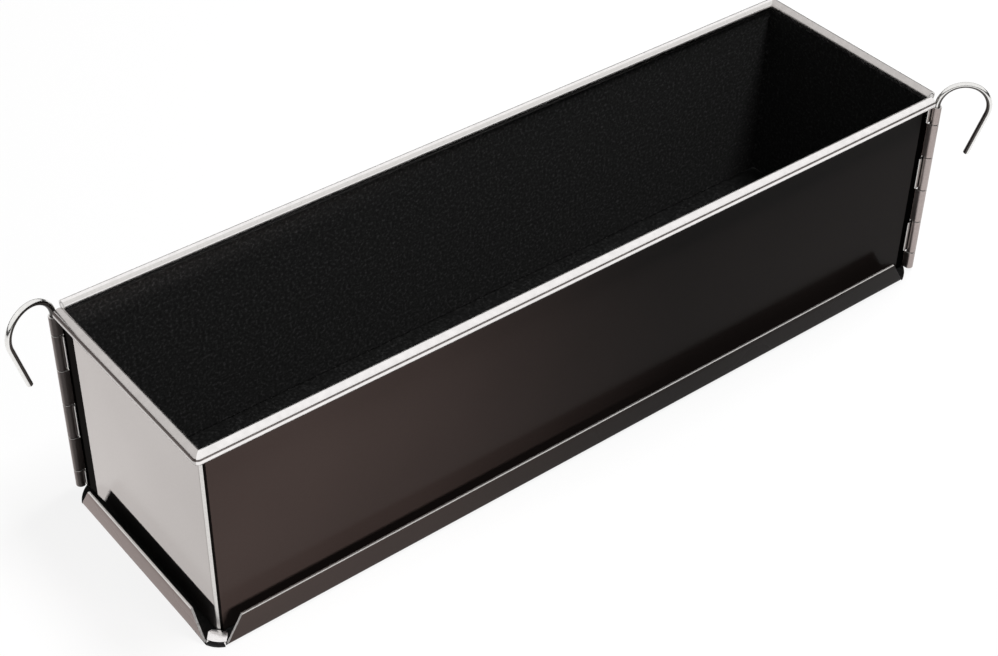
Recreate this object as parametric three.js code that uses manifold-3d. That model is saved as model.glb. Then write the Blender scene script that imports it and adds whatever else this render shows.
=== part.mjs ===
// A hinged terrine mould: two identical L-shaped walls, two hooked hinge pins and a loose base tray.
// Units are millimetres, +Z is up, +X runs along the mould.
// The origin is the centre of the underside of the tray.

import * as THREE from 'three';
import { mergeVertices } from 'three/addons/utils/BufferGeometryUtils.js';
import Module from 'manifold-3d';

const wasm = await Module();
wasm.setup();

// Driving dimensions of the walls
const innerLength = 300;
const innerWidth = 80;
const overallHeight = 77;
const wallSheet = 0.6;
const foldRadius = 1.5;

// Rolled rim and the wire inside it
const rimRadius = 2.1;
const rimWireRadius = 1.25;
const rimWireGap = 0.25;
const rimOffset = 1.1;
const rimEndGap = 0.4;

// Hinges and their pins
const pinRadius = 1.1;
const pinGap = 0.25;
const knuckleCount = 6;
const knuckleGap = 0.4;
const edgeGap = 0.3;
const hookRadius = 9.1;
const hookOverTurn = THREE.MathUtils.degToRad(15.5);
const hookLeg = 17.8;
const leftHookHeading = THREE.MathUtils.degToRad(195);
const rightHookHeading = THREE.MathUtils.degToRad(-42);

// Base tray
const traySheet = 0.8;
const lipHeight = 10.5;
const lipMitre = 6.5;
const trayPlay = 5.2;
const restGap = 0.4;
const seatGap = 0.3;
const foldCornerClip = 4.8;
const hingeCornerClip = 7.4;

// Facets
const roundSides = 16;
const wireSides = 10;
const hookSteps = 48;

// Values that follow from the driving dimensions
const halfLength = innerLength / 2;
const halfWidth = innerWidth / 2;
const frameBase = traySheet + seatGap;
const wallHeight = overallHeight - frameBase;
const rimAxisHeight = wallHeight - rimRadius;
const rimBore = rimWireRadius + rimWireGap;
const rimAxisOut = wallSheet / 2 + rimOffset;
const rimEnd = rimRadius - rimAxisOut + rimEndGap;
const knuckleBore = pinRadius + pinGap;
const knuckleRadius = knuckleBore + wallSheet;
const hingeX = halfLength + knuckleRadius;
const hingeY = halfWidth + knuckleRadius;
const knuckleTop = rimAxisHeight - rimRadius - knuckleGap;
const trayLength = innerLength + 2 * wallSheet + trayPlay + 2 * traySheet;
const trayWidth = innerWidth + 2 * wallSheet + trayPlay + 2 * traySheet;
const frameShift = trayPlay / 2 - restGap;

const coatedSteel = new THREE.MeshStandardMaterial({ color: 0x3b3331, roughness: 0.3, metalness: 0.2 });
const trayCoat = new THREE.MeshStandardMaterial({ color: 0x4a403d, roughness: 0.32, metalness: 0.2 });
const brightSteel = new THREE.MeshStandardMaterial({ color: 0xc9c6c2, roughness: 0.2, metalness: 1 });

// Turn a closed three.js geometry into a solid that can be joined and cut
function solid(geometry, matrix = new THREE.Matrix4()) {
  const placed = geometry.clone().applyMatrix4(matrix);
  placed.deleteAttribute('normal');
  placed.deleteAttribute('uv');
  const merged = mergeVertices(placed, 1e-4);
  return new wasm.Manifold(new wasm.Mesh({
    numProp: 3,
    vertProperties: new Float32Array(merged.attributes.position.array),
    triVerts: new Uint32Array(merged.index.array),
  }));
}

function join(solids) {
  return solids.reduce((sum, next) => sum.add(next));
}

function toGeometry(body) {
  const mesh = body.getMesh();
  const geometry = new THREE.BufferGeometry();
  geometry.setAttribute('position', new THREE.BufferAttribute(new Float32Array(mesh.vertProperties), 3));
  geometry.setIndex(new THREE.BufferAttribute(new Uint32Array(mesh.triVerts), 1));
  geometry.computeVertexNormals();
  return geometry;
}

function extrude(shape, low, high) {
  const geometry = new THREE.ExtrudeGeometry(shape, {
    depth: high - low, bevelEnabled: false, curveSegments: roundSides / 2,
  });
  return geometry.translate(0, 0, low);
}

// A rod that follows the two arms of one wall's rim, with a ball at the fold
function rimRod(radius, sides, armStop) {
  const cornerX = -(halfLength + rimAxisOut);
  const cornerY = -(halfWidth + rimAxisOut);
  const longArm = halfLength - armStop - cornerX;
  const shortArm = halfWidth - armStop - cornerY;
  const alongX = new THREE.CylinderGeometry(radius, radius, longArm, sides)
    .rotateZ(Math.PI / 2)
    .translate(cornerX + longArm / 2, cornerY, rimAxisHeight);
  const alongY = new THREE.CylinderGeometry(radius, radius, shortArm, sides)
    .rotateY(Math.PI / 2)
    .translate(cornerX, cornerY + shortArm / 2, rimAxisHeight);
  const corner = new THREE.SphereGeometry(radius, sides, sides / 2)
    .translate(cornerX, cornerY, rimAxisHeight);
  return join([solid(alongX), solid(alongY), solid(corner)]);
}

// The folded sheet in plan: near long side and left end, one bend at the near left corner
function foldedSheet() {
  const left = -halfLength - wallSheet;
  const near = -halfWidth - wallSheet;
  const longStop = halfLength - edgeGap;
  const endStop = halfWidth - edgeGap;
  const innerRadius = foldRadius - wallSheet;
  const shape = new THREE.Shape();
  shape.moveTo(longStop, near);
  shape.lineTo(longStop, near + wallSheet);
  shape.lineTo(left + foldRadius, near + wallSheet);
  shape.absarc(left + foldRadius, near + foldRadius, innerRadius, -Math.PI / 2, -Math.PI, true);
  shape.lineTo(left + wallSheet, endStop);
  shape.lineTo(left, endStop);
  shape.lineTo(left, near + foldRadius);
  shape.absarc(left + foldRadius, near + foldRadius, foldRadius, Math.PI, 1.5 * Math.PI, false);
  shape.lineTo(longStop, near);
  return solid(extrude(shape, 0, rimAxisHeight));
}

// Heights of the knuckles from the top down: half, full, full, full, full, half
function knuckleSpans() {
  const full = knuckleTop / (knuckleCount - 1);
  return Array.from({ length: knuckleCount }, (_, i) => ({
    high: i === 0 ? knuckleTop : knuckleTop - (i - 0.5) * full - knuckleGap / 2,
    low: i === knuckleCount - 1 ? 0 : knuckleTop - (i + 0.5) * full + knuckleGap / 2,
  }));
}

// A curled knuckle standing at the origin, with the flat tab that ties it to a sheet running along -X
function knuckle({ low, high }) {
  const ring = new THREE.Shape();
  ring.absarc(0, 0, knuckleRadius, 0, 2 * Math.PI, false);
  const bore = new THREE.Path();
  bore.absarc(0, 0, knuckleBore, 0, 2 * Math.PI, true);
  ring.holes.push(bore);
  const reach = knuckleRadius + 2 * edgeGap;
  const tab = new THREE.BoxGeometry(reach, wallSheet, high - low)
    .translate(-reach / 2, knuckleRadius - wallSheet / 2, (low + high) / 2);
  const hollow = new THREE.CylinderGeometry(knuckleBore, knuckleBore, 2 * wallHeight, roundSides)
    .rotateX(Math.PI / 2);
  return solid(extrude(ring, low, high)).add(solid(tab).subtract(solid(hollow)));
}

// One L-shaped wall with its rolled rim and its share of the knuckles at both free edges
function wallBody() {
  const spans = knuckleSpans();
  const longKnuckles = spans.filter((_, i) => i % 2 === 0).map(knuckle)
    .map((body) => body.translate([hingeX, -hingeY, 0]));
  const quarterTurn = new THREE.Matrix4().makeRotationZ(Math.PI / 2)
    .premultiply(new THREE.Matrix4().makeScale(-1, 1, 1));
  const endKnuckles = spans.filter((_, i) => i % 2 === 1).map(knuckle)
    .map((body) => body.transform(quarterTurn.elements).translate([-hingeX, hingeY, 0]));
  const rim = rimRod(rimRadius, roundSides, rimEnd);
  const bore = rimRod(rimBore, wireSides, rimEnd - rimRadius);
  return join([foldedSheet(), rim, ...longKnuckles, ...endKnuckles]).subtract(bore);
}

// A hinge pin: straight shank, a crook at the top and a straight leg that leans back to the shank
class CrookArc extends THREE.Curve {
  getPoint(t) {
    const turn = Math.PI - t * (Math.PI + hookOverTurn);
    return new THREE.Vector3(hookRadius * (1 + Math.cos(turn)), 0, crookStart + hookRadius * Math.sin(turn));
  }
}

const crookStart = knuckleTop + knuckleGap;

function pinGeometry() {
  const arc = new CrookArc();
  const arcEnd = arc.getPoint(1);
  const legEnd = new THREE.Vector3(-Math.sin(hookOverTurn), 0, -Math.cos(hookOverTurn))
    .multiplyScalar(hookLeg).add(arcEnd);
  const path = new THREE.CurvePath();
  path.add(new THREE.LineCurve3(new THREE.Vector3(0, 0, 0), new THREE.Vector3(0, 0, crookStart)));
  path.add(arc);
  path.add(new THREE.LineCurve3(arcEnd, legEnd));
  const section = new THREE.Shape();
  section.absarc(0, 0, pinRadius, 0, 2 * Math.PI, false);
  return new THREE.ExtrudeGeometry(section, {
    steps: hookSteps, curveSegments: wireSides / 2, extrudePath: path,
  });
}

// The tray: a flat base with clipped corners and four upright lips with mitred ends
function trayBody() {
  const x = trayLength / 2;
  const y = trayWidth / 2;
  const outline = new THREE.Shape();
  outline.moveTo(-x + foldCornerClip, -y);
  outline.lineTo(x - hingeCornerClip, -y);
  outline.lineTo(x, -y + hingeCornerClip);
  outline.lineTo(x, y - foldCornerClip);
  outline.lineTo(x - foldCornerClip, y);
  outline.lineTo(-x + hingeCornerClip, y);
  outline.lineTo(-x, y - hingeCornerClip);
  outline.lineTo(-x, -y + foldCornerClip);
  outline.closePath();
  const lips = [
    lip(-x + foldCornerClip, x - hingeCornerClip, y, 0),
    lip(-y + hingeCornerClip, y - foldCornerClip, x, 1),
    lip(-x + foldCornerClip, x - hingeCornerClip, y, 2),
    lip(-y + hingeCornerClip, y - foldCornerClip, x, 3),
  ];
  return join([solid(extrude(outline, 0, traySheet)), ...lips]);
}

// One lip as an upright trapezoid, outer face at -Y by the given reach, then turned by quarter turns
function lip(start, stop, reach, quarterTurns) {
  const shape = new THREE.Shape();
  shape.moveTo(start, 0);
  shape.lineTo(stop, 0);
  shape.lineTo(stop - lipMitre, lipHeight);
  shape.lineTo(start + lipMitre, lipHeight);
  shape.closePath();
  const plate = extrude(shape, 0, traySheet)
    .rotateX(Math.PI / 2)
    .translate(0, -reach + traySheet, 0)
    .rotateZ(quarterTurns * Math.PI / 2);
  return solid(plate);
}

function part(name, geometry, material) {
  const mesh = new THREE.Mesh(geometry, material);
  mesh.name = name;
  return mesh;
}

const mould = new THREE.Group();
mould.add(part('base_tray', toGeometry(trayBody()), trayCoat));

const frame = new THREE.Group();
frame.position.set(frameShift, frameShift, frameBase);
mould.add(frame);

const wall = toGeometry(wallBody());
const rimWire = toGeometry(rimRod(rimWireRadius, wireSides, rimEnd));
for (const [side, turn] of [['front', 0], ['rear', Math.PI]]) {
  const half = new THREE.Group();
  half.rotation.z = turn;
  half.add(part(`${side}_wall`, wall, coatedSteel));
  half.add(part(`${side}_rim_wire`, rimWire, brightSteel));
  frame.add(half);
}

const pin = pinGeometry();
for (const [side, sign, heading] of [['left', -1, leftHookHeading], ['right', 1, rightHookHeading]]) {
  const hinge = part(`${side}_hinge_pin`, pin, brightSteel);
  hinge.position.set(sign * hingeX, -sign * hingeY, 0);
  hinge.rotation.z = heading;
  frame.add(hinge);
}

export default mould;
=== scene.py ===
"""Looks of a hinged terrine mould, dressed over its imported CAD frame.

Lengths are written in millimetres in the part's own frame: +Z up, +X along the mould,
origin at the centre of the tray's underside. Meshes are scaled to metres when they are made.
The floor, the cards and the lamps are placed in metres.
"""

import math

import bmesh
import bpy
from mathutils import Matrix, Vector


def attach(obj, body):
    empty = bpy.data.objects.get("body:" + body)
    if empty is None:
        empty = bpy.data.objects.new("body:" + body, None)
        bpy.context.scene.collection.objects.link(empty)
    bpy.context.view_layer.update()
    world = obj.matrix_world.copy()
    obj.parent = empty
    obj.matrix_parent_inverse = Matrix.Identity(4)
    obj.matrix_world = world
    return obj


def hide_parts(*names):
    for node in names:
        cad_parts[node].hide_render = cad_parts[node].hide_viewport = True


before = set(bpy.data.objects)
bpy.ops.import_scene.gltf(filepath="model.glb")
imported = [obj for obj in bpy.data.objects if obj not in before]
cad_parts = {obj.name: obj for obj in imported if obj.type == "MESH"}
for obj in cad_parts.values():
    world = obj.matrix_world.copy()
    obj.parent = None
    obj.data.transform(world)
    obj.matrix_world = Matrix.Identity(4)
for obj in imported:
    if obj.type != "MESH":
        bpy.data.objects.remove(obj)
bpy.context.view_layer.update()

MM = 0.001

# Walls
INNER_LENGTH = 300.0
INNER_WIDTH = 80.0
OVERALL_HEIGHT = 77.0
WALL_SHEET = 0.6
WALL_LEVELS = (0.0, 6.0, 18.0, 36.0, 54.0, 66.0)
EDGE_GAP = 0.05
FOLD_RADIUS = 1.5
FOLD_MARGIN = 0.2
LONG_STEPS = 23
FOLD_STEPS = 10
END_STEPS = 9
# Strips of the fold: a line of painted shade on its near part, then bare steel that is partly wear and partly
# a painted highlight
FOLD_SHADE_STRIPS = 4
FOLD_WEAR_AND_HIGHLIGHT_STRIPS = 5

# Rolled rim
RIM_RADIUS = 2.1
RIM_WIRE_RADIUS = 1.25
RIM_WIRE_SIDES = 20
RIM_AXIS_OUT = 1.4
RIM_END = 1.1
RIM_CURL_START = math.radians(226)
RIM_CURL_STOP = math.radians(-101)
RIM_CURL_STEPS = 40
# Rim strips: a greyer band of painted shade on the bead's inner side, and dark lines of painted reflection on
# its outer side
RIM_INNER_SHADE_STRIPS = range(10, 14)
RIM_REFLECTION_STRIPS = range(24, 26)
END_RIM_REFLECTION_STRIPS = range(23, 26)
RIM_CORNER_REACH = 3.0
RIM_LONG_STEPS = 20
RIM_TURN_STEPS = 12
RIM_SHORT_STEPS = 8
RIM_SHARP_ANGLE = 50

# Hinges: knuckles, and the pressed feet at the ends of their curls
HINGE_OUT = 1.95
KNUCKLE_BORE = 1.15
KNUCKLE_RADIUS = 1.72
KNUCKLE_COUNT = 6
KNUCKLE_GAP = 0.4
KNUCKLE_STEPS = 2
CURL_WRAP = math.radians(300)
CURL_STEPS = 28
FOOT_LENGTH = 1.25
FOOT_THICK = 0.45
FOOT_INSET = 0.5
FOOT_PROFILE = (
    (-0.1, 0.0),
    (-0.1, 0.6 * FOOT_THICK),
    (0.1, FOOT_THICK),
    (0.5, FOOT_THICK),
    (FOOT_LENGTH - 0.2, FOOT_THICK),
    (FOOT_LENGTH - 0.05, 0.7 * FOOT_THICK),
    (FOOT_LENGTH, 0.0),
)
LONG_FOOT_GAP = 0.9
END_FOOT_GAP = 0.0
# Widths of the black bands of painted shadow beside the hinges, on the long and on the end side
LONG_SHADOW_BAND = 3.6
END_SHADOW_BAND = 6.7

# Hinge pins
PIN_RADIUS = 1.06
PIN_CHAMFER = 0.25
PIN_SIDES = 28
# Sides of the pin's rings that carry the painted dark strip
PIN_DARK_SIDES = range(-7, 9)
PIN_STEPS = 12
HOOK_RADIUS = 9.05
HOOK_OVER_TURN = math.radians(15.5)
HOOK_STEPS = 48
HOOK_LEG = 17.8
HOOK_LEG_STEPS = 6
LEFT_HOOK_HEADING = math.radians(195)
RIGHT_HOOK_HEADING = math.radians(-42)

# Tray
TRAY_HALF_LENGTH = 154.0
TRAY_HALF_WIDTH = 44.0
TRAY_SHEET = 0.8
TRAY_BEND = 1.5
TRAY_LIFT = 0.06
LIP_HEIGHT = 10.5
LIP_MITRE = 6.5
LIP_ROUND = 0.26
LIP_CHAMFER = ((0.08, 0.08), (0.24, 0.0))
LIP_BEND_STEPS = 8
LIP_RISE_STEPS = 4
LIP_STEPS = 12
FOLD_CORNER_CLIP = 4.8
HINGE_CORNER_CLIP = 7.4
TONGUE_CUT = 0.34
FULL_TONGUE_CUT = 0.08
TONGUE_EDGE = 0.25
TONGUE_STEP = 0.2
TONGUE_STEPS = 8
NUB_RINGS = ((0.0, 0.02), (0.0, 0.12), (0.9, 0.68), (1.8, 1.24), (2.7, 1.8))
SEAT_GAP = 0.3
FRAME_SHIFT = 2.2

# Edges of all meshes
MERGE_DISTANCE = 0.001
SHORTEST_EDGE = 0.0005
SHARP_ANGLE = 35
WORN_EDGE = 0.1
WORN_EDGE_ANGLE = 50
WORN_EDGE_SEGMENTS = 2

# Values that follow
HALF_LENGTH = INNER_LENGTH / 2
HALF_WIDTH = INNER_WIDTH / 2
FRAME_BASE = TRAY_SHEET + SEAT_GAP
WALL_HEIGHT = OVERALL_HEIGHT - FRAME_BASE
RIM_AXIS_HEIGHT = WALL_HEIGHT - RIM_RADIUS
HINGE_X = HALF_LENGTH + HINGE_OUT
HINGE_Y = HALF_WIDTH + HINGE_OUT
KNUCKLE_TOP = RIM_AXIS_HEIGHT - RIM_RADIUS - KNUCKLE_GAP

# Textures: scales of noise, per metre
CLOUD_SCALE = 14.0
GRAIN_SCALE = 1400.0
GRAIN_SHARE = 0.3
PEEL_SCALE = 650.0
SPECK_SCALE = 900.0

# Stage
FLOOR_HALF = 3.0
FLOOR_LEVEL = -0.0002
FLOOR_GREY = 0.88
FLOOR_GLOW = 0.88
WORLD_FILL = 0.015
CARD_RADIUS = 1.2
CARD_TOP = 0.35
CARD_COUNT = 48
CARD_GREY = 0.02
MATT_ROUGHNESS = 0.9

# Camera, fitted to the photo: focal length and width of the picture in its pixels
CAMERA_SPOT = (-337.6, -408.0, 460.8)
CAMERA_AZIMUTH = math.radians(-38.706)
CAMERA_ELEVATION = math.radians(39.69)
CAMERA_ROLL = math.radians(0.996)
FOCAL_LENGTH = 1997.0
PICTURE_WIDTH = 998.0
SENSOR_WIDTH = 36.0


# Material helpers

def new_material(name):
    material = bpy.data.materials.new(name)
    material.use_nodes = True
    nodes = material.node_tree.nodes
    shader = nodes["Principled BSDF"]
    return material, nodes, material.node_tree.links, shader


def object_coordinates(nodes):
    return nodes.new("ShaderNodeTexCoord").outputs["Object"]


def noise(nodes, links, vector, scale, detail=2.0, roughness=0.55):
    texture = nodes.new("ShaderNodeTexNoise")
    texture.inputs["Scale"].default_value = scale
    texture.inputs["Detail"].default_value = detail
    texture.inputs["Roughness"].default_value = roughness
    links.new(vector, texture.inputs["Vector"])
    return texture.outputs["Fac"]


def ramp(nodes, links, factor, stops):
    node = nodes.new("ShaderNodeValToRGB")
    elements = node.color_ramp.elements
    while len(elements) < len(stops):
        elements.new(0.5)
    for element, (position, colour) in zip(elements, stops):
        element.position = position
        element.color = (*colour, 1.0)
    links.new(factor, node.inputs["Fac"])
    return node.outputs["Color"]


def grey(value):
    return (value, value, value)


def bump(nodes, links, shader, height, strength, distance):
    node = nodes.new("ShaderNodeBump")
    node.inputs["Strength"].default_value = strength
    node.inputs["Distance"].default_value = distance
    links.new(height, node.inputs["Height"])
    links.new(node.outputs["Normal"], shader.inputs["Normal"])


def baked_coating(name, dark, light, roughness, specular, metallic=0.0):
    """Baked coating with a fine orange peel and a cloudy tint."""
    material, nodes, links, shader = new_material(name)
    where = object_coordinates(nodes)
    cloud = noise(nodes, links, where, CLOUD_SCALE)
    grain = noise(nodes, links, where, GRAIN_SCALE)
    tint = nodes.new("ShaderNodeMath")
    tint.operation = "MULTIPLY_ADD"
    tint.inputs[1].default_value = GRAIN_SHARE
    links.new(grain, tint.inputs[0])
    links.new(cloud, tint.inputs[2])
    colour = ramp(nodes, links, tint.outputs[0], [(0.35, dark), (0.95, light)])
    links.new(colour, shader.inputs["Base Color"])
    gloss = ramp(nodes, links, cloud, [(0.3, grey(roughness - 0.04)), (0.7, grey(roughness + 0.04))])
    links.new(gloss, shader.inputs["Roughness"])
    shader.inputs["Metallic"].default_value = metallic
    shader.inputs["Specular IOR Level"].default_value = specular
    peel = noise(nodes, links, where, PEEL_SCALE)
    bump(nodes, links, shader, peel, strength=0.10, distance=0.0002)
    return material


def non_stick(name, dark, middle, pale):
    """Matt black non-stick lining with a fine pale speckle."""
    material, nodes, links, shader = new_material(name)
    where = object_coordinates(nodes)
    speck = noise(nodes, links, where, SPECK_SCALE, roughness=0.7)
    colour = ramp(nodes, links, speck, [(0.38, grey(dark)), (0.55, grey(middle)), (0.74, grey(pale))])
    links.new(colour, shader.inputs["Base Color"])
    gloss = ramp(nodes, links, speck, [(0.3, grey(0.42)), (0.7, grey(0.55))])
    links.new(gloss, shader.inputs["Roughness"])
    shader.inputs["Specular IOR Level"].default_value = 0.2
    bump(nodes, links, shader, speck, strength=0.15, distance=0.0002)
    return material


def steel(name, colour, roughness, scale, strength):
    """Bare steel with a faint mottle."""
    material, nodes, links, shader = new_material(name)
    where = object_coordinates(nodes)
    mottle = noise(nodes, links, where, scale, detail=3.0)
    dark = tuple(0.88 * c for c in colour)
    links.new(ramp(nodes, links, mottle, [(0.3, dark), (0.7, colour)]), shader.inputs["Base Color"])
    gloss = ramp(nodes, links, mottle, [(0.3, grey(roughness - 0.05)), (0.7, grey(roughness + 0.07))])
    links.new(gloss, shader.inputs["Roughness"])
    shader.inputs["Metallic"].default_value = 1.0
    bump(nodes, links, shader, mottle, strength, distance=0.0001)
    return material


def matt(name, value, specular):
    """One even grey."""
    material, nodes, links, shader = new_material(name)
    shader.inputs["Base Color"].default_value = (*grey(value), 1.0)
    shader.inputs["Roughness"].default_value = MATT_ROUGHNESS
    shader.inputs["Specular IOR Level"].default_value = specular
    return material, nodes, links, shader


# Coats: dark brown on the long sides; the ends get a lighter, greyer copy of the same coat, which is painted
# light
LONG_COAT = baked_coating(
    "long_side_coat", dark=(0.046, 0.035, 0.032), light=(0.058, 0.045, 0.0415), roughness=0.20, specular=0.03)
LIT_END_COAT = baked_coating(
    "end_side_coat_painted_light", dark=(0.385, 0.357, 0.345), light=(0.435, 0.407, 0.394), roughness=0.20, specular=0.03)
LONG_LIP_COAT = baked_coating(
    "long_lip_coat", dark=(0.050, 0.040, 0.037), light=(0.063, 0.051, 0.047), roughness=0.26, specular=0.06)
# The end lips take a lighter copy of the lip coat: painted light.
LIT_END_LIP_COAT = baked_coating(
    "end_lip_coat_painted_light", dark=(0.145, 0.113, 0.104), light=(0.180, 0.143, 0.133), roughness=0.26, specular=0.06)
HINGE_COAT = baked_coating(
    "hinge_coat", dark=(0.120, 0.098, 0.092), light=(0.170, 0.143, 0.135),
    roughness=0.40, specular=0.3, metallic=0.2)
# A lighter, more metallic copy of the hinge coat: painted light.
LIT_HINGE_COAT = baked_coating(
    "hinge_coat_painted_light", dark=(0.30, 0.250, 0.236), light=(0.56, 0.490, 0.468),
    roughness=0.36, specular=0.4, metallic=0.9)
# Dark line along the end arms of the rim: a painted reflection of the dark horizon.
END_RIM_PAINTED_REFLECTION = baked_coating(
    "end_rim_painted_dark_reflection", dark=(0.075, 0.060, 0.056), light=(0.110, 0.090, 0.084),
    roughness=0.35, specular=0.2, metallic=0.3)
# Near-black painted shade: the knuckles' shadow beside the hinges, a dark line at the fold and the trough
# inside the lips.
PAINTED_SHADE = baked_coating(
    "painted_shade_black", dark=(0.004, 0.0037, 0.0035), light=(0.009, 0.0082, 0.0078), roughness=0.6, specular=0.0)

# Linings
LINING = non_stick("black_lining", dark=0.030, middle=0.054, pale=0.16)
# The tray's lining is a darker copy of the lining: painted shade in the trough and on the mould's floor.
SHADED_TRAY_LINING = non_stick("tray_lining_painted_shade", dark=0.005, middle=0.009, pale=0.025)

# Bare steel
RIM_STEEL = steel("rim_steel", (0.93, 0.905, 0.895), roughness=0.20, scale=420.0, strength=0.04)
# The end arms of the rim take a darker copy of the rim steel: painted shade.
SHADED_END_RIM_STEEL = steel("end_rim_steel_painted_shade", (0.56, 0.53, 0.515), roughness=0.24, scale=420.0, strength=0.04)
# Dark line along the long arms of the rim: a painted reflection of the dark horizon.
RIM_PAINTED_REFLECTION = steel("rim_painted_dark_reflection", (0.30, 0.265, 0.255), roughness=0.34, scale=420.0, strength=0.15)
CUT_STEEL = steel("cut_steel", (0.74, 0.72, 0.70), roughness=0.32, scale=1600.0, strength=0.25)
PIN_STEEL = steel("pin_steel_wire", (0.88, 0.87, 0.85), roughness=0.16, scale=900.0, strength=0.08)
# Dark strip along the inner side of each pin: painted shade and painted reflection of the dark mould.
PIN_PAINTED_DARK_SIDE = steel("pin_wire_painted_dark_side", (0.085, 0.077, 0.073), roughness=0.24, scale=900.0, strength=0.08)
WIRE_STEEL = steel("rim_wire_drawn", (0.62, 0.61, 0.59), roughness=0.28, scale=900.0, strength=0.12)


# Mesh helpers

class Builder:
    """Collects points and faces in millimetres, then makes one object in metres.

    Every face has a look, which is one of the builder's materials.
    """

    def __init__(self, materials):
        self.materials = materials
        self.points = []
        self.faces = []
        self.looks = []

    def face(self, corners, look):
        self.faces.append(corners)
        self.looks.append(self.materials.index(look))

    def sheet(self, sections, outer, inner, edge, cap, strips=None, caps=(True, True)):
        """Bent sheet metal: every section is a pair of point rows, one for each side of the sheet.

        Strips gives some places along the rows another look on the outer side.
        """
        count = len(sections[0][0])
        last = count - 1
        strips = strips or {}
        first = len(self.points)
        for outside, inside in sections:
            self.points.extend(outside)
            self.points.extend(inside)
        for s in range(len(sections) - 1):
            a = first + 2 * count * s
            b = a + 2 * count
            for i in range(last):
                self.face((a + i, a + i + 1, b + i + 1, b + i), strips.get(i, outer))
                self.face((a + count + i, b + count + i, b + count + i + 1, a + count + i + 1), inner)
            self.face((a, b, b + count, a + count), edge)
            self.face((a + last, a + count + last, b + count + last, b + last), edge)
        for a, closed in zip((first, first + 2 * count * (len(sections) - 1)), caps):
            for i in range(last if closed else 0):
                self.face((a + i, a + count + i, a + count + i + 1, a + i + 1), cap)

    def rod(self, rings, side, cap, strips=None):
        """A solid rod through closed rings of points, with flat ends. Strips is as for a sheet."""
        count = len(rings[0])
        strips = strips or {}
        first = len(self.points)
        for ring in rings:
            self.points.extend(ring)
        for s in range(len(rings) - 1):
            a = first + count * s
            for i in range(count):
                j = (i + 1) % count
                self.face((a + i, a + j, a + count + j, a + count + i), strips.get(i, side))
        self.face(tuple(first + i for i in range(count)), cap)
        self.face(tuple(first + count * (len(rings) - 1) + i for i in range(count)), cap)

    def slab(self, outline, low, high, top, bottom, side):
        """A flat plate with the given outline."""
        count = len(outline)
        first = len(self.points)
        self.points.extend((x, y, low) for x, y in outline)
        self.points.extend((x, y, high) for x, y in outline)
        self.face(tuple(first + i for i in range(count)), bottom)
        self.face(tuple(first + count + i for i in range(count)), top)
        for i in range(count):
            j = (i + 1) % count
            self.face((first + i, first + j, first + count + j, first + count + i), side)

    def make(self, name, place, bevel=0.0, sharp=SHARP_ANGLE):
        mesh = bpy.data.meshes.new(name)
        points = [place @ Vector(p) * MM for p in self.points]
        mesh.from_pydata(points, [], self.faces)
        for material in self.materials:
            mesh.materials.append(material)
        mesh.polygons.foreach_set("material_index", self.looks)
        work = bmesh.new()
        work.from_mesh(mesh)
        bmesh.ops.remove_doubles(work, verts=work.verts, dist=MERGE_DISTANCE * MM)
        bmesh.ops.dissolve_degenerate(work, edges=work.edges, dist=SHORTEST_EDGE * MM)
        bmesh.ops.recalc_face_normals(work, faces=work.faces)
        work.to_mesh(mesh)
        work.free()
        mesh.polygons.foreach_set("use_smooth", [True] * len(mesh.polygons))
        mesh.set_sharp_from_angle(angle=math.radians(sharp))
        piece = bpy.data.objects.new(name, mesh)
        bpy.context.scene.collection.objects.link(piece)
        if bevel:
            edge = piece.modifiers.new("worn_edges", "BEVEL")
            edge.width = bevel * MM
            edge.segments = WORN_EDGE_SEGMENTS
            edge.limit_method = "ANGLE"
            edge.angle_limit = math.radians(WORN_EDGE_ANGLE)
        return piece


def steps(start, stop, count):
    return [start + (stop - start) * i / count for i in range(count + 1)]


# Walls: each is one sheet folded into an L, rolled at the top and curled into knuckles at its free edges

def wall_plan():
    """Outer and inner rows in plan, from the long side's hinge round the fold to the end side's hinge."""
    left = -HALF_LENGTH - WALL_SHEET
    near = -HALF_WIDTH - WALL_SHEET
    centre_x = left + FOLD_RADIUS
    centre_y = near + FOLD_RADIUS
    inner_radius = FOLD_RADIUS - WALL_SHEET
    long_edge = HALF_LENGTH - EDGE_GAP
    end_edge = HALF_WIDTH - EDGE_GAP
    outer = []
    inner = []
    for x in [long_edge] + steps(long_edge - LONG_SHADOW_BAND, centre_x + FOLD_MARGIN, LONG_STEPS):
        outer.append((x, near))
        inner.append((x, near + WALL_SHEET))
    for turn in steps(-math.pi / 2, -math.pi, FOLD_STEPS):
        across = math.cos(turn)
        along = math.sin(turn)
        outer.append((centre_x + FOLD_RADIUS * across, centre_y + FOLD_RADIUS * along))
        inner.append((centre_x + inner_radius * across, centre_y + inner_radius * along))
    for y in steps(centre_y + FOLD_MARGIN, end_edge - END_SHADOW_BAND, END_STEPS) + [end_edge]:
        outer.append((left, y))
        inner.append((left + WALL_SHEET, y))
    return outer, inner


def wall_strips(count):
    """Looks along the wall's outer row of points, where they aren't the long side's coat.

    The bands beside both hinges are painted black shadow of the knuckles, and the near part of the fold is a
    painted shade line. The rest of the fold is bare steel, partly wear and partly a painted highlight, and
    the end side has a lighter copy of the coat, which is painted light.
    """
    fold = LONG_STEPS + 1
    bare = fold + FOLD_SHADE_STRIPS
    end = bare + FOLD_WEAR_AND_HIGHLIGHT_STRIPS
    last = count - 2
    strips = {0: PAINTED_SHADE, last: PAINTED_SHADE}
    strips |= {i: PAINTED_SHADE for i in range(fold, bare)}
    strips |= {i: CUT_STEEL for i in range(bare, end)}
    strips |= {i: LIT_END_COAT for i in range(end, last)}
    return strips


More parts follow.
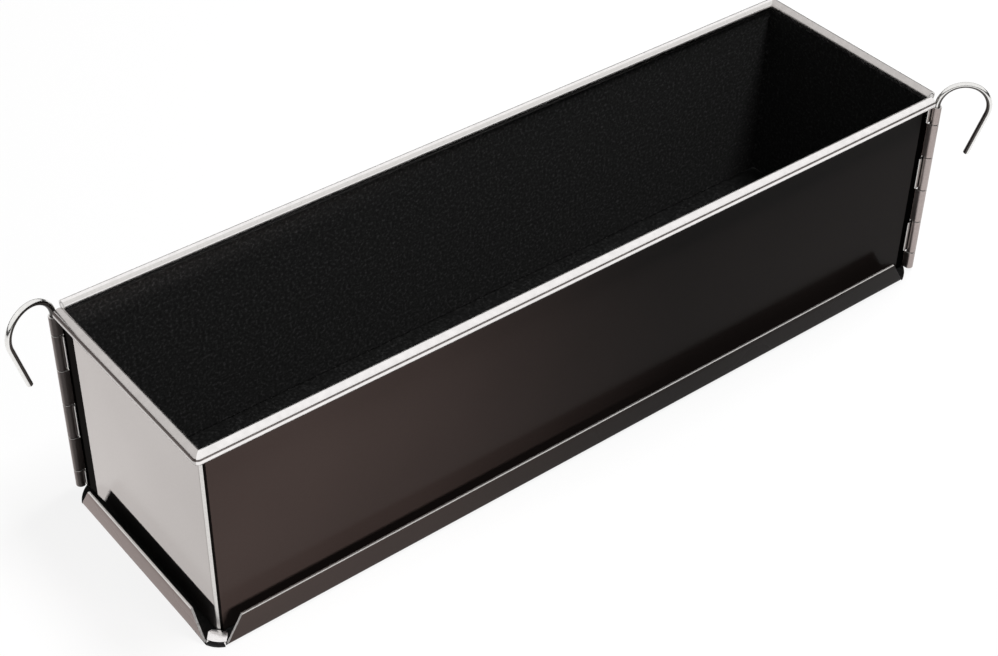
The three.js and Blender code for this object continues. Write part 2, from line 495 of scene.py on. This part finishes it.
def knuckle_spans():
    """Heights of the knuckles from the top down: half, full, full, full, full, half."""
    full = KNUCKLE_TOP / (KNUCKLE_COUNT - 1)
    spans = []
    for i in range(KNUCKLE_COUNT):
        high = KNUCKLE_TOP if i == 0 else KNUCKLE_TOP - (i - 0.5) * full - KNUCKLE_GAP / 2
        low = 0.0 if i == KNUCKLE_COUNT - 1 else KNUCKLE_TOP - (i + 0.5) * full + KNUCKLE_GAP / 2
        spans.append((low, high))
    return spans


def curl_plan():
    """A knuckle of the long side in plan: a flat tab, then a curl round the pin back to the wall."""
    edge = HALF_LENGTH - EDGE_GAP
    convex = [(edge, -HALF_WIDTH)]
    concave = [(edge, -HALF_WIDTH - WALL_SHEET)]
    for turn in steps(math.pi / 2, math.pi / 2 - CURL_WRAP, CURL_STEPS):
        across = math.cos(turn)
        along = math.sin(turn)
        convex.append((HINGE_X + KNUCKLE_RADIUS * across, -HINGE_Y + KNUCKLE_RADIUS * along))
        concave.append((HINGE_X + KNUCKLE_BORE * across, -HINGE_Y + KNUCKLE_BORE * along))
    return convex, concave


def foot_plan(gap):
    """The end of a knuckle's curl, pressed flat on the long side's outer face, in plan."""
    root = HINGE_X - math.sqrt(KNUCKLE_RADIUS ** 2 - (HINGE_OUT - WALL_SHEET) ** 2) - gap
    face = -HALF_WIDTH - WALL_SHEET
    return [(root - along, face - rise) for along, rise in FOOT_PROFILE]


def end_side(row):
    """The same plan laid along the end side's free edge."""
    return [(-HINGE_X + (y + HINGE_Y), HINGE_Y + (x - HINGE_X)) for x, y in row]


def at_height(row, z):
    return [(x, y, z) for x, y in row]


def upright(plan, heights):
    """Sections of a sheet that stands upright on a plan of two rows."""
    return [[at_height(row, z) for row in plan] for z in heights]


def wall_piece(name, place, long_hinge, end_hinge):
    build = Builder([LONG_COAT, LINING, CUT_STEEL, long_hinge, end_hinge, PAINTED_SHADE, LIT_END_COAT])
    plan = wall_plan()
    sections = upright(plan, [*WALL_LEVELS, RIM_AXIS_HEIGHT])
    strips = wall_strips(len(plan[0]))
    build.sheet(sections, outer=LONG_COAT, inner=LINING, edge=CUT_STEEL, cap=CUT_STEEL, strips=strips)
    for i, (low, high) in enumerate(knuckle_spans()):
        if i % 2 == 0:
            look = long_hinge
            curl = curl_plan()
            foot = foot_plan(LONG_FOOT_GAP)
        else:
            look = end_hinge
            curl = [end_side(row) for row in curl_plan()]
            foot = end_side(foot_plan(END_FOOT_GAP))
        sections = upright(curl, steps(low, high, KNUCKLE_STEPS))
        build.sheet(sections, outer=look, inner=LINING, edge=CUT_STEEL, cap=CUT_STEEL)
        build.slab(foot, low + FOOT_INSET, high - FOOT_INSET, top=CUT_STEEL, bottom=CUT_STEEL, side=CUT_STEEL)
    return build.make(name, place, bevel=WORN_EDGE)


def rim_corner(out, z):
    """A line of the rim from the long arm round the fold to the short arm, lying out from the axis."""
    corner_x = -(HALF_LENGTH + RIM_AXIS_OUT)
    corner_y = -(HALF_WIDTH + RIM_AXIS_OUT)
    stop_x = HALF_LENGTH - RIM_END
    stop_y = HALF_WIDTH - RIM_END
    line = [(x, corner_y - out, z) for x in steps(stop_x, corner_x + RIM_CORNER_REACH, RIM_LONG_STEPS)]
    for turn in steps(-math.pi / 2, -math.pi, RIM_TURN_STEPS):
        if out >= 0:
            line.append((corner_x + out * math.cos(turn), corner_y + out * math.sin(turn), z))
        else:
            line.append((corner_x - out, corner_y - out, z))
    line.extend((corner_x - out, y, z) for y in steps(corner_y + RIM_CORNER_REACH, stop_y, RIM_SHORT_STEPS))
    return line


def rim_piece(name, place):
    """The wall's top edge, rolled into an open curl. Its two arms meet in the middle of the corner."""
    build = Builder([RIM_STEEL, CUT_STEEL, SHADED_END_RIM_STEEL, RIM_PAINTED_REFLECTION, END_RIM_PAINTED_REFLECTION])
    inner_radius = RIM_RADIUS - WALL_SHEET
    outer_lines = []
    inner_lines = []
    for turn in steps(RIM_CURL_START, RIM_CURL_STOP, RIM_CURL_STEPS):
        across = math.cos(turn)
        rise = math.sin(turn)
        outer_lines.append(rim_corner(RIM_RADIUS * across, RIM_AXIS_HEIGHT + RIM_RADIUS * rise))
        inner_lines.append(rim_corner(inner_radius * across, RIM_AXIS_HEIGHT + inner_radius * rise))
    sections = list(zip(zip(*outer_lines), zip(*inner_lines)))
    corner = RIM_LONG_STEPS + 1 + RIM_TURN_STEPS // 2
    # Painted on the rim: a greyer band of painted shade and dark lines of painted reflection.
    long_strips = {i: CUT_STEEL for i in RIM_INNER_SHADE_STRIPS} | {i: RIM_PAINTED_REFLECTION for i in RIM_REFLECTION_STRIPS}
    end_strips = {i: END_RIM_PAINTED_REFLECTION for i in END_RIM_REFLECTION_STRIPS}
    build.sheet(sections[:corner + 1], outer=RIM_STEEL, inner=RIM_STEEL, edge=CUT_STEEL, cap=CUT_STEEL,
                strips=long_strips, caps=(True, False))
    build.sheet(sections[corner:], outer=SHADED_END_RIM_STEEL, inner=SHADED_END_RIM_STEEL, edge=CUT_STEEL, cap=CUT_STEEL,
                strips=end_strips, caps=(False, True))
    return build.make(name, place, sharp=RIM_SHARP_ANGLE)


def wire_piece(name, place):
    """The wire that the rim is rolled around."""
    build = Builder([WIRE_STEEL, CUT_STEEL])
    lines = []
    for k in range(RIM_WIRE_SIDES):
        turn = 2 * math.pi * k / RIM_WIRE_SIDES
        across = RIM_WIRE_RADIUS * math.cos(turn)
        rise = RIM_WIRE_RADIUS * math.sin(turn)
        lines.append(rim_corner(across, RIM_AXIS_HEIGHT + rise))
    build.rod(list(zip(*lines)), side=WIRE_STEEL, cap=CUT_STEEL)
    return build.make(name, place)


# Hinge pins: bent wire with a crook at the top

def pin_path():
    crook_start = KNUCKLE_TOP + KNUCKLE_GAP
    path = [(0.0, z) for z in steps(0.0, crook_start, PIN_STEPS)]
    for turn in steps(math.pi, -HOOK_OVER_TURN, HOOK_STEPS)[1:]:
        path.append((HOOK_RADIUS * (1 + math.cos(turn)), crook_start + HOOK_RADIUS * math.sin(turn)))
    lean_x = -math.sin(HOOK_OVER_TURN)
    lean_z = -math.cos(HOOK_OVER_TURN)
    end_x, end_z = path[-1]
    for reach in steps(0.0, HOOK_LEG, HOOK_LEG_STEPS)[1:]:
        path.append((end_x + lean_x * reach, end_z + lean_z * reach))
    return path


def pin_ring(centre, radius, out, side):
    ring = []
    for k in range(PIN_SIDES):
        turn = 2 * math.pi * k / PIN_SIDES
        ring.append(tuple(centre + radius * (math.cos(turn) * out + math.sin(turn) * side)))
    return ring


def pin_rings(path):
    """Rings of points square to the path, with a chamfer at both ends."""
    side = Vector((0.0, 1.0, 0.0))
    tip = PIN_RADIUS - PIN_CHAMFER
    last = len(path) - 1
    rings = []
    for i, (x, z) in enumerate(path):
        before = path[max(i - 1, 0)]
        after = path[min(i + 1, last)]
        along = Vector((after[0] - before[0], 0.0, after[1] - before[1])).normalized()
        out = side.cross(along)
        centre = Vector((x, 0.0, z))
        spots = [(centre, PIN_RADIUS)]
        if i == 0:
            spots = [(centre, tip), (centre + PIN_CHAMFER * along, PIN_RADIUS)]
        if i == last:
            spots = [(centre - PIN_CHAMFER * along, PIN_RADIUS), (centre, tip)]
        for middle, radius in spots:
            rings.append(pin_ring(middle, radius, out, side))
    return rings


def pin_piece(name, place):
    """The inner side of the crook's bend has a dark strip of painted shade and painted dark reflection, along
    the whole wire.
    """
    build = Builder([PIN_STEEL, CUT_STEEL, PIN_PAINTED_DARK_SIDE])
    painted_dark_side = {k % PIN_SIDES: PIN_PAINTED_DARK_SIDE for k in PIN_DARK_SIDES}
    build.rod(pin_rings(pin_path()), side=PIN_STEEL, cap=CUT_STEEL, strips=painted_dark_side)
    return build.make(name, place)


# Tray: one sheet bent up on four sides, corners cut away

def lip_profile():
    """Outer and inner rows of a lip's section, as depth in from the lip's face and height."""
    inner_bend = TRAY_BEND - TRAY_SHEET
    outer = []
    inner = []
    for turn in steps(-math.pi / 2, -math.pi, LIP_BEND_STEPS):
        across = math.cos(turn)
        rise = math.sin(turn)
        outer.append((TRAY_BEND + TRAY_BEND * across, TRAY_BEND + TRAY_BEND * rise))
        inner.append((TRAY_BEND + inner_bend * across, TRAY_BEND + inner_bend * rise))
    for z in steps(TRAY_BEND, LIP_HEIGHT - LIP_ROUND, LIP_RISE_STEPS)[1:]:
        outer.append((0.0, z))
        inner.append((TRAY_SHEET, z))
    for depth, below in LIP_CHAMFER:
        outer.append((depth, LIP_HEIGHT - below))
        inner.append((TRAY_SHEET, LIP_HEIGHT - below))
    return outer, inner


def add_lip(build, start, stop, reach, quarter_turns, look):
    """A lip along the near side from start to stop, mitred at both ends, then turned to its own side."""
    turn = Matrix.Rotation(quarter_turns * math.pi / 2, 4, "Z")
    sections = []
    for share in steps(0.0, 1.0, LIP_STEPS):
        rows = []
        for profile in lip_profile():
            row = []
            for depth, z in profile:
                lean = LIP_MITRE * z / LIP_HEIGHT
                x = start + lean + (stop - start - 2 * lean) * share
                row.append(tuple(turn @ Vector((x, depth - reach, z))))
            rows.append(row)
        sections.append(rows)
    chamfer = LIP_BEND_STEPS + LIP_RISE_STEPS
    bare = {chamfer + i: CUT_STEEL for i in range(len(LIP_CHAMFER))}
    # The lip's inner face is painted black shade, for the dark trough between the lip and the wall.
    build.sheet(sections, outer=look, inner=PAINTED_SHADE, edge=CUT_STEEL, cap=CUT_STEEL, strips=bare)


def tray_corner(clip, cut):
    """Outline of a corner tongue, as offsets inwards from the tray's square corner."""
    start = (TONGUE_EDGE, clip - TONGUE_STEP)
    stop = (clip - TONGUE_STEP, TONGUE_EDGE)
    middle = cut * clip
    points = [(TRAY_BEND, clip)]
    for t in steps(0.0, 1.0, TONGUE_STEPS):
        a = (1 - t) ** 2
        b = 2 * t * (1 - t)
        c = t ** 2
        dx = a * start[0] + b * middle + c * stop[0]
        dy = a * start[1] + b * middle + c * stop[1]
        points.append((dx, dy))
    points.append((clip, TRAY_BEND))
    return points


def add_nub(build):
    """The near left tongue, bright bare steel that is partly wear and partly a painted highlight, sloping
    down towards its edge.
    """
    rings = []
    for inwards, z in NUB_RINGS:
        ring = []
        for dx, dy in tray_corner(FOLD_CORNER_CLIP, TONGUE_CUT):
            ring.append((dx + inwards - TRAY_HALF_LENGTH, dy + inwards - TRAY_HALF_WIDTH, z))
        rings.append(ring)
    build.rod(rings, side=RIM_STEEL, cap=RIM_STEEL)


def tray_outline():
    corners = [
        (-1, -1, FOLD_CORNER_CLIP, TONGUE_CUT),
        (1, -1, HINGE_CORNER_CLIP, TONGUE_CUT),
        (1, 1, FOLD_CORNER_CLIP, FULL_TONGUE_CUT),
        (-1, 1, HINGE_CORNER_CLIP, TONGUE_CUT),
    ]
    outline = []
    for sign_x, sign_y, clip, cut in corners:
        row = []
        for dx, dy in tray_corner(clip, cut):
            row.append((sign_x * (TRAY_HALF_LENGTH - dx), sign_y * (TRAY_HALF_WIDTH - dy)))
        outline.extend(row if sign_x * sign_y > 0 else reversed(row))
    return outline


def tray_piece():
    build = Builder([LONG_LIP_COAT, SHADED_TRAY_LINING, CUT_STEEL, RIM_STEEL, PAINTED_SHADE, LIT_END_LIP_COAT])
    # The plate's top takes the darker lining copy: painted shade.
    build.slab(tray_outline(), 0.0, TRAY_SHEET, top=SHADED_TRAY_LINING, bottom=LONG_LIP_COAT, side=SHADED_TRAY_LINING)
    add_nub(build)
    for quarter_turns in range(4):
        if quarter_turns % 2 == 0:
            start = FOLD_CORNER_CLIP - TRAY_HALF_LENGTH
            stop = TRAY_HALF_LENGTH - HINGE_CORNER_CLIP
            add_lip(build, start, stop, TRAY_HALF_WIDTH, quarter_turns, LONG_LIP_COAT)
        else:
            start = HINGE_CORNER_CLIP - TRAY_HALF_WIDTH
            stop = TRAY_HALF_WIDTH - FOLD_CORNER_CLIP
            add_lip(build, start, stop, TRAY_HALF_LENGTH, quarter_turns, LIT_END_LIP_COAT)
    return build.make("tray_sheet", Matrix.Translation((0.0, 0.0, TRAY_LIFT)), bevel=WORN_EDGE)


# All pieces on their bodies

def dress(piece, body, node):
    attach(piece, body)
    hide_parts(node)


dress(tray_piece(), "tray", "base_tray")

frame_place = Matrix.Translation((FRAME_SHIFT, FRAME_SHIFT, FRAME_BASE))
# Both halves of the near right hinge take the lighter hinge coat, which is painted light.
hinge_looks = {"front": (LIT_HINGE_COAT, HINGE_COAT), "rear": (HINGE_COAT, LIT_HINGE_COAT)}
for side, turn in (("front", 0.0), ("rear", math.pi)):
    place = frame_place @ Matrix.Rotation(turn, 4, "Z")
    wall = wall_piece(side + "_wall_sheet", place, *hinge_looks[side])
    dress(wall, "wall_frame", side + "_wall")
    dress(rim_piece(side + "_rolled_rim", place), "wall_frame", side + "_wall")
    dress(wire_piece(side + "_wire_core", place), "wall_frame", side + "_rim_wire")

for side, sign, heading in (("left", -1, LEFT_HOOK_HEADING), ("right", 1, RIGHT_HOOK_HEADING)):
    spot = Matrix.Translation((sign * HINGE_X, -sign * HINGE_Y, 0.0))
    place = frame_place @ spot @ Matrix.Rotation(heading, 4, "Z")
    pin = pin_piece(side + "_hooked_pin", place)
    pin.visible_shadow = False
    dress(pin, side + "_pin", side + "_hinge_pin")


# Floor, light and camera

def seen_directly(nodes, links):
    """1 for rays from the camera and for mirror or see-through rays, else 0."""
    path = nodes.new("ShaderNodeLightPath")
    total = path.outputs["Is Camera Ray"]
    for kind in ("Is Glossy Ray", "Is Transmission Ray"):
        highest = nodes.new("ShaderNodeMath")
        highest.operation = "MAXIMUM"
        links.new(total, highest.inputs[0])
        links.new(path.outputs[kind], highest.inputs[1])
        total = highest.outputs[0]
    return total


def scaled(nodes, links, value, factor, offset=0.0):
    node = nodes.new("ShaderNodeMath")
    node.operation = "MULTIPLY_ADD"
    node.inputs[1].default_value = factor
    node.inputs[2].default_value = offset
    links.new(value, node.inputs[0])
    return node.outputs[0]


def floor_piece():
    """A white table top, mostly white of itself, with a faint shadow."""
    corners = [(-1, -1), (1, -1), (1, 1), (-1, 1)]
    points = [(x * FLOOR_HALF, y * FLOOR_HALF, FLOOR_LEVEL) for x, y in corners]
    mesh = bpy.data.meshes.new("floor")
    mesh.from_pydata(points, [], [(0, 1, 2, 3)])
    floor = bpy.data.objects.new("floor", mesh)
    bpy.context.scene.collection.objects.link(floor)
    material, nodes, links, shader = matt("pale_floor", FLOOR_GREY, specular=0.1)
    white = nodes.new("ShaderNodeEmission")
    blend = nodes.new("ShaderNodeMixShader")
    links.new(scaled(nodes, links, seen_directly(nodes, links), FLOOR_GLOW), blend.inputs["Fac"])
    links.new(shader.outputs["BSDF"], blend.inputs[1])
    links.new(white.outputs["Emission"], blend.inputs[2])
    links.new(blend.outputs["Shader"], nodes["Material Output"].inputs["Surface"])
    mesh.materials.append(material)
    floor.visible_diffuse = False
    floor.visible_shadow = False


def dark_cards():
    """A ring of black cards round the table that draws the dark lines in bright metal."""
    points = []
    faces = []
    for i in range(CARD_COUNT):
        turn = 2 * math.pi * i / CARD_COUNT
        for z in (0.0, CARD_TOP):
            points.append((CARD_RADIUS * math.cos(turn), CARD_RADIUS * math.sin(turn), z))
        low = 2 * i
        next_low = 2 * ((i + 1) % CARD_COUNT)
        faces.append((low, next_low, next_low + 1, low + 1))
    mesh = bpy.data.meshes.new("dark_cards")
    mesh.from_pydata(points, [], faces)
    material = matt("black_card", CARD_GREY, specular=0.5)[0]
    mesh.materials.append(material)
    cards = bpy.data.objects.new("dark_cards", mesh)
    bpy.context.scene.collection.objects.link(cards)
    cards.visible_camera = False
    cards.visible_diffuse = False
    cards.visible_shadow = False


def area_light(name, spot, aim, width, height, power, colour=(1.0, 1.0, 1.0), spread=180):
    lamp = bpy.data.lights.new(name, "AREA")
    lamp.shape = "RECTANGLE"
    lamp.size = width
    lamp.size_y = height
    lamp.energy = power
    lamp.color = colour
    lamp.spread = math.radians(spread)
    light = bpy.data.objects.new(name, lamp)
    light.location = spot
    light.visible_glossy = False
    light.rotation_euler = (Vector(aim) - Vector(spot)).to_track_quat("-Z", "Y").to_euler()
    bpy.context.scene.collection.objects.link(light)


def place_lamps():
    """The key lamp is below the floor's level, like light that comes up off a white table."""
    area_light("key", spot=(-1.08, 1.00, -0.30), aim=(-0.14, 0.0, 0.04), width=0.20, height=0.05, power=36.0)
    area_light("overhead", spot=(0.32, -0.07, 1.2), aim=(0.0, 0.0, 0.0), width=0.6, height=0.3, power=18.0)
    area_light("front", spot=(-0.075, -0.26, 0.085), aim=(-0.200, -0.04, 0.03), width=0.14, height=0.05,
               power=0.180, colour=(1.0, 0.90, 0.87), spread=94)
    area_light("right", spot=(1.10, 0.25, 0.30), aim=(0.15, 0.0, 0.04), width=0.40, height=0.25, power=7.0)


def set_world():
    """White where it is seen directly, with very little light of its own."""
    world = bpy.data.worlds.new("studio")
    world.use_nodes = True
    nodes = world.node_tree.nodes
    links = world.node_tree.links
    background = nodes["Background"]
    background.inputs["Color"].default_value = (1.0, 1.0, 1.0, 1.0)
    strength = scaled(nodes, links, seen_directly(nodes, links), 1.0 - WORLD_FILL, WORLD_FILL)
    links.new(strength, background.inputs["Strength"])
    bpy.context.scene.world = world


def place_camera():
    level = math.cos(CAMERA_ELEVATION)
    back = Vector((math.sin(CAMERA_AZIMUTH) * level, -math.cos(CAMERA_AZIMUTH) * level,
                   math.sin(CAMERA_ELEVATION)))
    right = Vector((0, 0, 1)).cross(back).normalized()
    up = back.cross(right)
    across = right * math.cos(CAMERA_ROLL) + up * math.sin(CAMERA_ROLL)
    rise = up * math.cos(CAMERA_ROLL) - right * math.sin(CAMERA_ROLL)
    camera = bpy.data.cameras.new("camera")
    camera.sensor_fit = "HORIZONTAL"
    camera.sensor_width = SENSOR_WIDTH
    camera.lens = SENSOR_WIDTH * FOCAL_LENGTH / PICTURE_WIDTH
    eye = bpy.data.objects.new("camera", camera)
    turn = Matrix((across, rise, back)).transposed().to_4x4()
    eye.matrix_world = Matrix.Translation(Vector(CAMERA_SPOT) * MM) @ turn
    bpy.context.scene.collection.objects.link(eye)
    bpy.context.scene.camera = eye


floor_piece()
dark_cards()
place_lamps()
set_world()
place_camera()
bpy.context.scene.view_settings.view_transform = "Standard"

bpy.context.view_layer.update()
